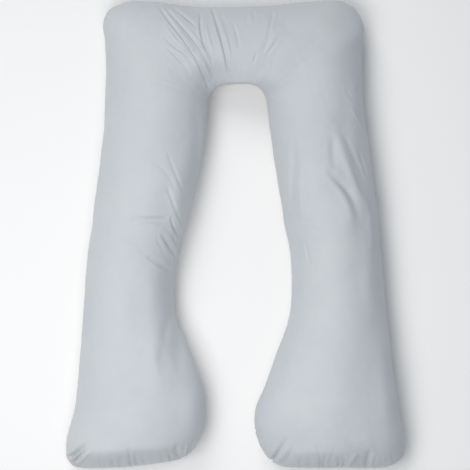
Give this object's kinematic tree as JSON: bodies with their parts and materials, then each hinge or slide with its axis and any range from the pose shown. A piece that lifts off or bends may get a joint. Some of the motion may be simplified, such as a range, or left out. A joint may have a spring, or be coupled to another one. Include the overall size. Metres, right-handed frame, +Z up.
{
  "type": "body pillow",
  "caption": "U-shaped full-body pillow: a plump cloth tube with a head bridge, long legs and wide club feet, sewn round its outline and lying flat.",
  "frame": {"origin": "on the surface the pillow lies on, under the middle of its bounding box", "axes": "+Z up out of the front panel, +Y towards the head bridge, -Y towards the feet, +X to the right as seen from above"},
  "size_m": [1.0486, 1.4499, 0.1971],
  "materials": {
    "cover_cloth": "pale cool grey cotton in a fine plain weave with a soft satin sheen"
  },
  "bodies": {
    "root": {"pillow": "cover_cloth"}
  },
  "joints": []
}
